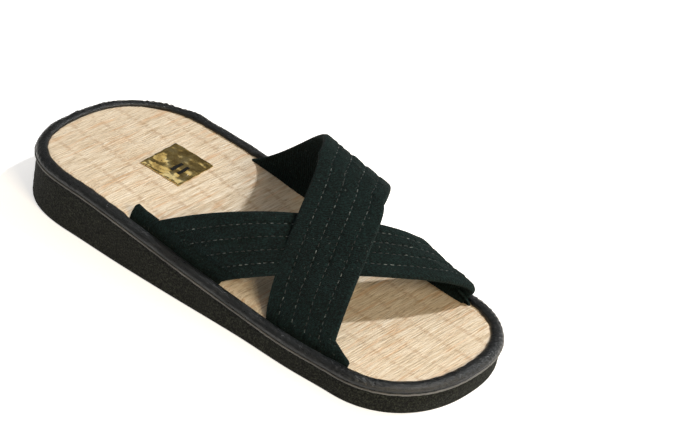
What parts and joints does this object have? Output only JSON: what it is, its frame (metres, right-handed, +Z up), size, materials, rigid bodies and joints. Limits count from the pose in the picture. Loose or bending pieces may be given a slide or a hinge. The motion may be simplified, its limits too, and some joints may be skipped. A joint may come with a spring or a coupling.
{
  "type": "crossed-strap zori sandal",
  "caption": "Open slip-on sandal with a wedge foam sole, a woven rush insole in a rounded bound edge, and quilted straps crossing over the instep.",
  "frame": {"origin": "on the floor plane, under the middle of the whole sandal's bounding box to within 1 mm", "axes": "+X from heel to toe, +Y to the wearer's left, +Z up"},
  "size_m": [0.2559, 0.1032, 0.0713],
  "materials": {
    "foam": "matte, fine speckled skin",
    "rush": "natural woven rush with a soft sheen",
    "binding": "smooth black vinyl, semi-gloss",
    "strap_cloth": "matte napped cloth, quilted",
    "thread": "dull thread",
    "foil": "crinkled metallic foil"
  },
  "bodies": {
    "root": {"outsole": "foam", "insole": "rush", "edge_binding": "binding", "upper_straps": "strap_cloth"}
  },
  "joints": []
}
